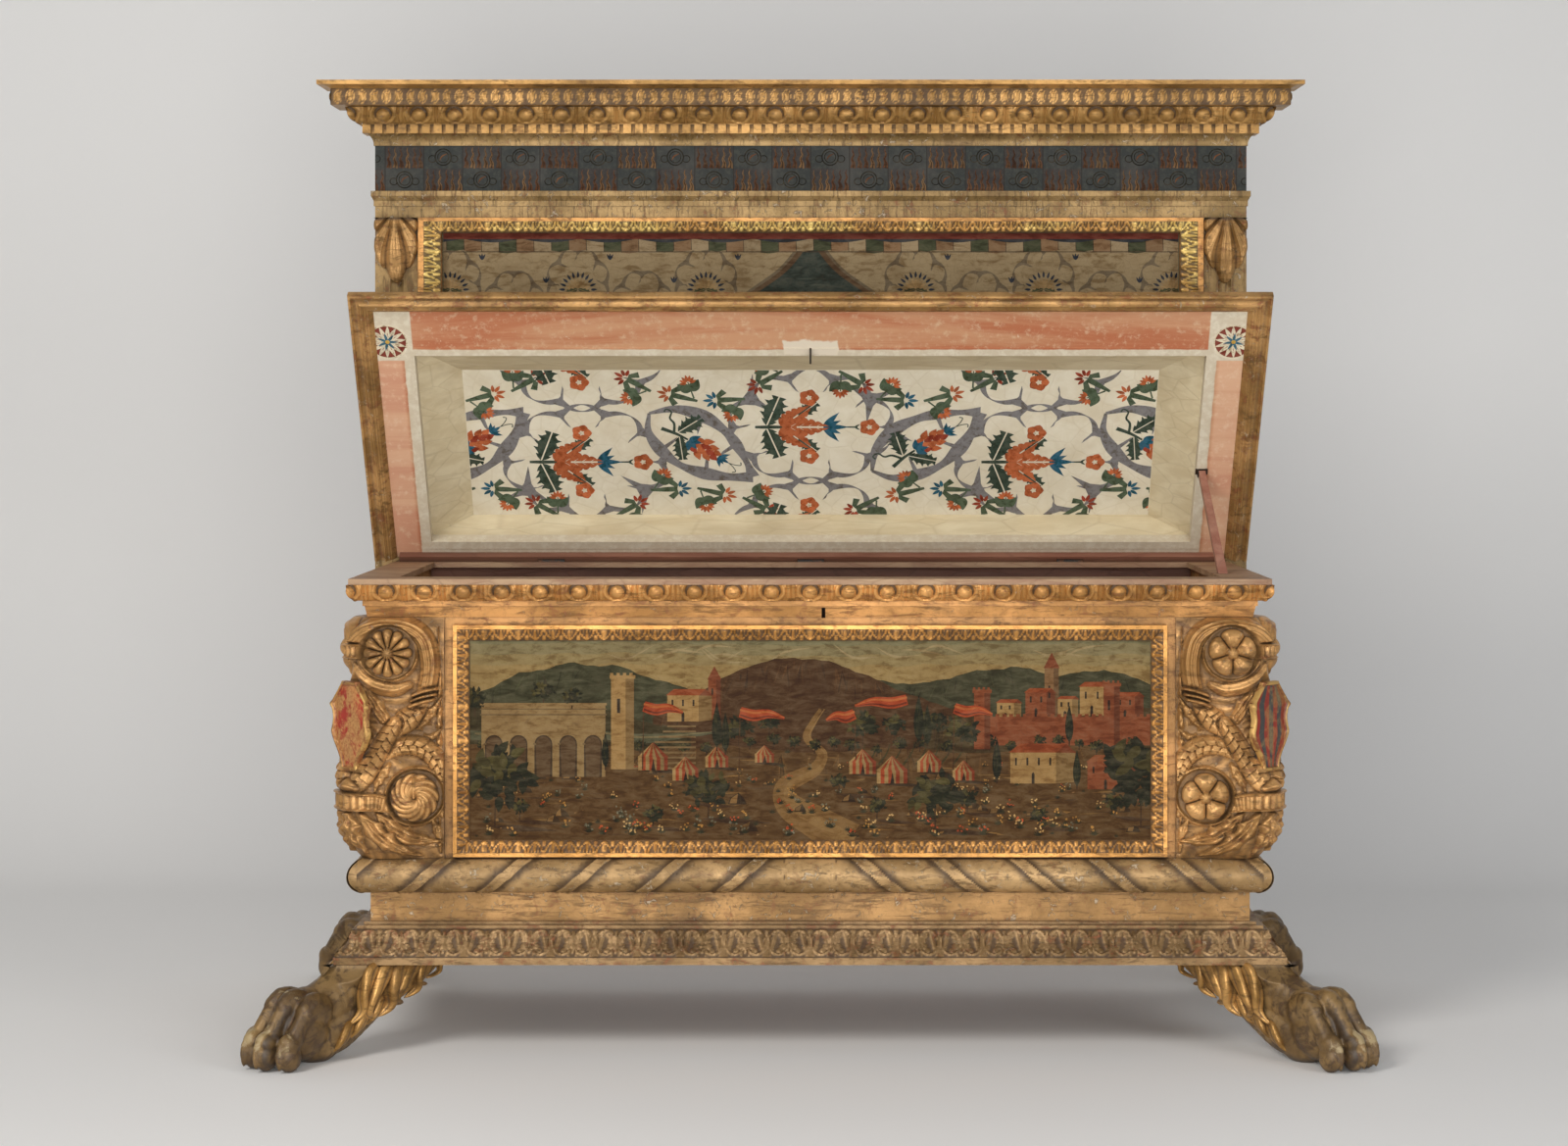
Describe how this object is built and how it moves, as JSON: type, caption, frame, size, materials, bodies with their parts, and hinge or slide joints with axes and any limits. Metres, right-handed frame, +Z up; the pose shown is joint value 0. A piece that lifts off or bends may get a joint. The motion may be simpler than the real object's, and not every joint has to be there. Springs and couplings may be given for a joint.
{
  "type": "cassone",
  "caption": "Long carved, gilded and painted marriage chest on splayed paw feet, its coffered lid propped open, with a tall backboard and cornice behind.",
  "frame": {"origin": "on the floor, in the middle of the box round the chest, its feet and its backboard", "axes": "+X to the right along the chest, +Y from the front to the wall, +Z up; the lid is open, held by its prop, at rest"},
  "size_m": [2.3228, 1.1158, 2.102],
  "materials": {
    "iron": "old dark iron",
    "plain_wood": "old red-brown painted wood",
    "painted_panel": "tempera on wood",
    "painted_lid": "pink and cream paint on wood",
    "shield_paint": "red paint with a gilt edge",
    "foot_gilding": "worn gilding over grey-brown wood",
    "gilded_wood": "worn water gilding over red bole"
  },
  "bodies": {
    "chest": {"architrave_moulding": "gilded_wood", "back_board": "plain_wood", "backboard_architrave": "gilded_wood", "backboard_bottom_rail": "plain_wood", "backboard_panel": "painted_panel", "backboard_panel_frame": "gilded_wood", "backboard_post_left": "gilded_wood", "backboard_post_right": "gilded_wood", "backboard_screws": "iron", "backboard_top_rail": "gilded_wood", "base_back_rail": "plain_wood", "base_moulding": "gilded_wood", "bottom_board": "plain_wood", "console_front_left": "gilded_wood", "console_front_right": "gilded_wood", "console_rear_left": "gilded_wood", "console_rear_right": "gilded_wood", "cornice_bed": "gilded_wood", "cornice_crown": "gilded_wood", "cornice_dentils": "gilded_wood", "cornice_eggs": "gilded_wood", "egg_moulding": "gilded_wood", "end_board_left": "plain_wood", "end_board_right": "plain_wood", "end_panel_frames": "gilded_wood", "end_panels": "painted_panel", "foot_front_left": "foot_gilding", "foot_front_right": "foot_gilding", "foot_rear_left": "foot_gilding", "foot_rear_right": "foot_gilding", "frieze_board": "painted_panel", "front_board": "plain_wood", "front_painted_panel": "painted_panel", "front_panel_frame": "gilded_wood", "hinge_lower_leaves": "iron", "hinge_pins": "iron", "hinge_screws_rim": "iron", "leaf_brackets": "gilded_wood", "lock_case": "iron", "plinth_boards": "gilded_wood", "rim_back": "plain_wood", "rim_front": "plain_wood", "rim_left": "plain_wood", "rim_right": "plain_wood", "rosettes": "gilded_wood", "shield_left": "shield_paint", "shield_right": "shield_paint", "torus_moulding": "gilded_wood"},
    "lid": {"lid_lip_mouldings": "gilded_wood", "lid_flange_boards": "painted_lid", "lid_back_batten": "painted_lid", "lid_coffer_boards": "painted_lid", "lid_top_panel": "painted_lid", "lid_inner_fillet": "painted_lid", "lock_staple": "iron", "hinge_upper_leaves": "iron", "hinge_screws_lid": "iron", "prop_bracket": "iron"},
    "prop": {"prop_stick": "painted_lid"},
    "bolt": {"lock_bolt": "iron"}
  },
  "joints": [
    {"name": "lid_hinge", "type": "hinge", "parent": "chest", "child": "lid", "pos_m": [0, 0.3195, 0.991], "axis": [1, 0, 0], "range_deg": [0, 55.5]},
    {"name": "prop_fold", "type": "hinge", "parent": "lid", "child": "prop", "pos_m": [0.889, 0.18815, 1.19801], "axis": [1, 0, 0], "range_deg": [-86.67, 0]},
    {"name": "bolt_slide", "type": "slide", "parent": "chest", "child": "bolt", "axis": [-1, 0, 0], "range_m": [0, 0.014]}
  ],
  "couplings": [
    {"joint": "prop_fold", "follows": "lid_hinge", "ratio": -1.5616}
  ]
}
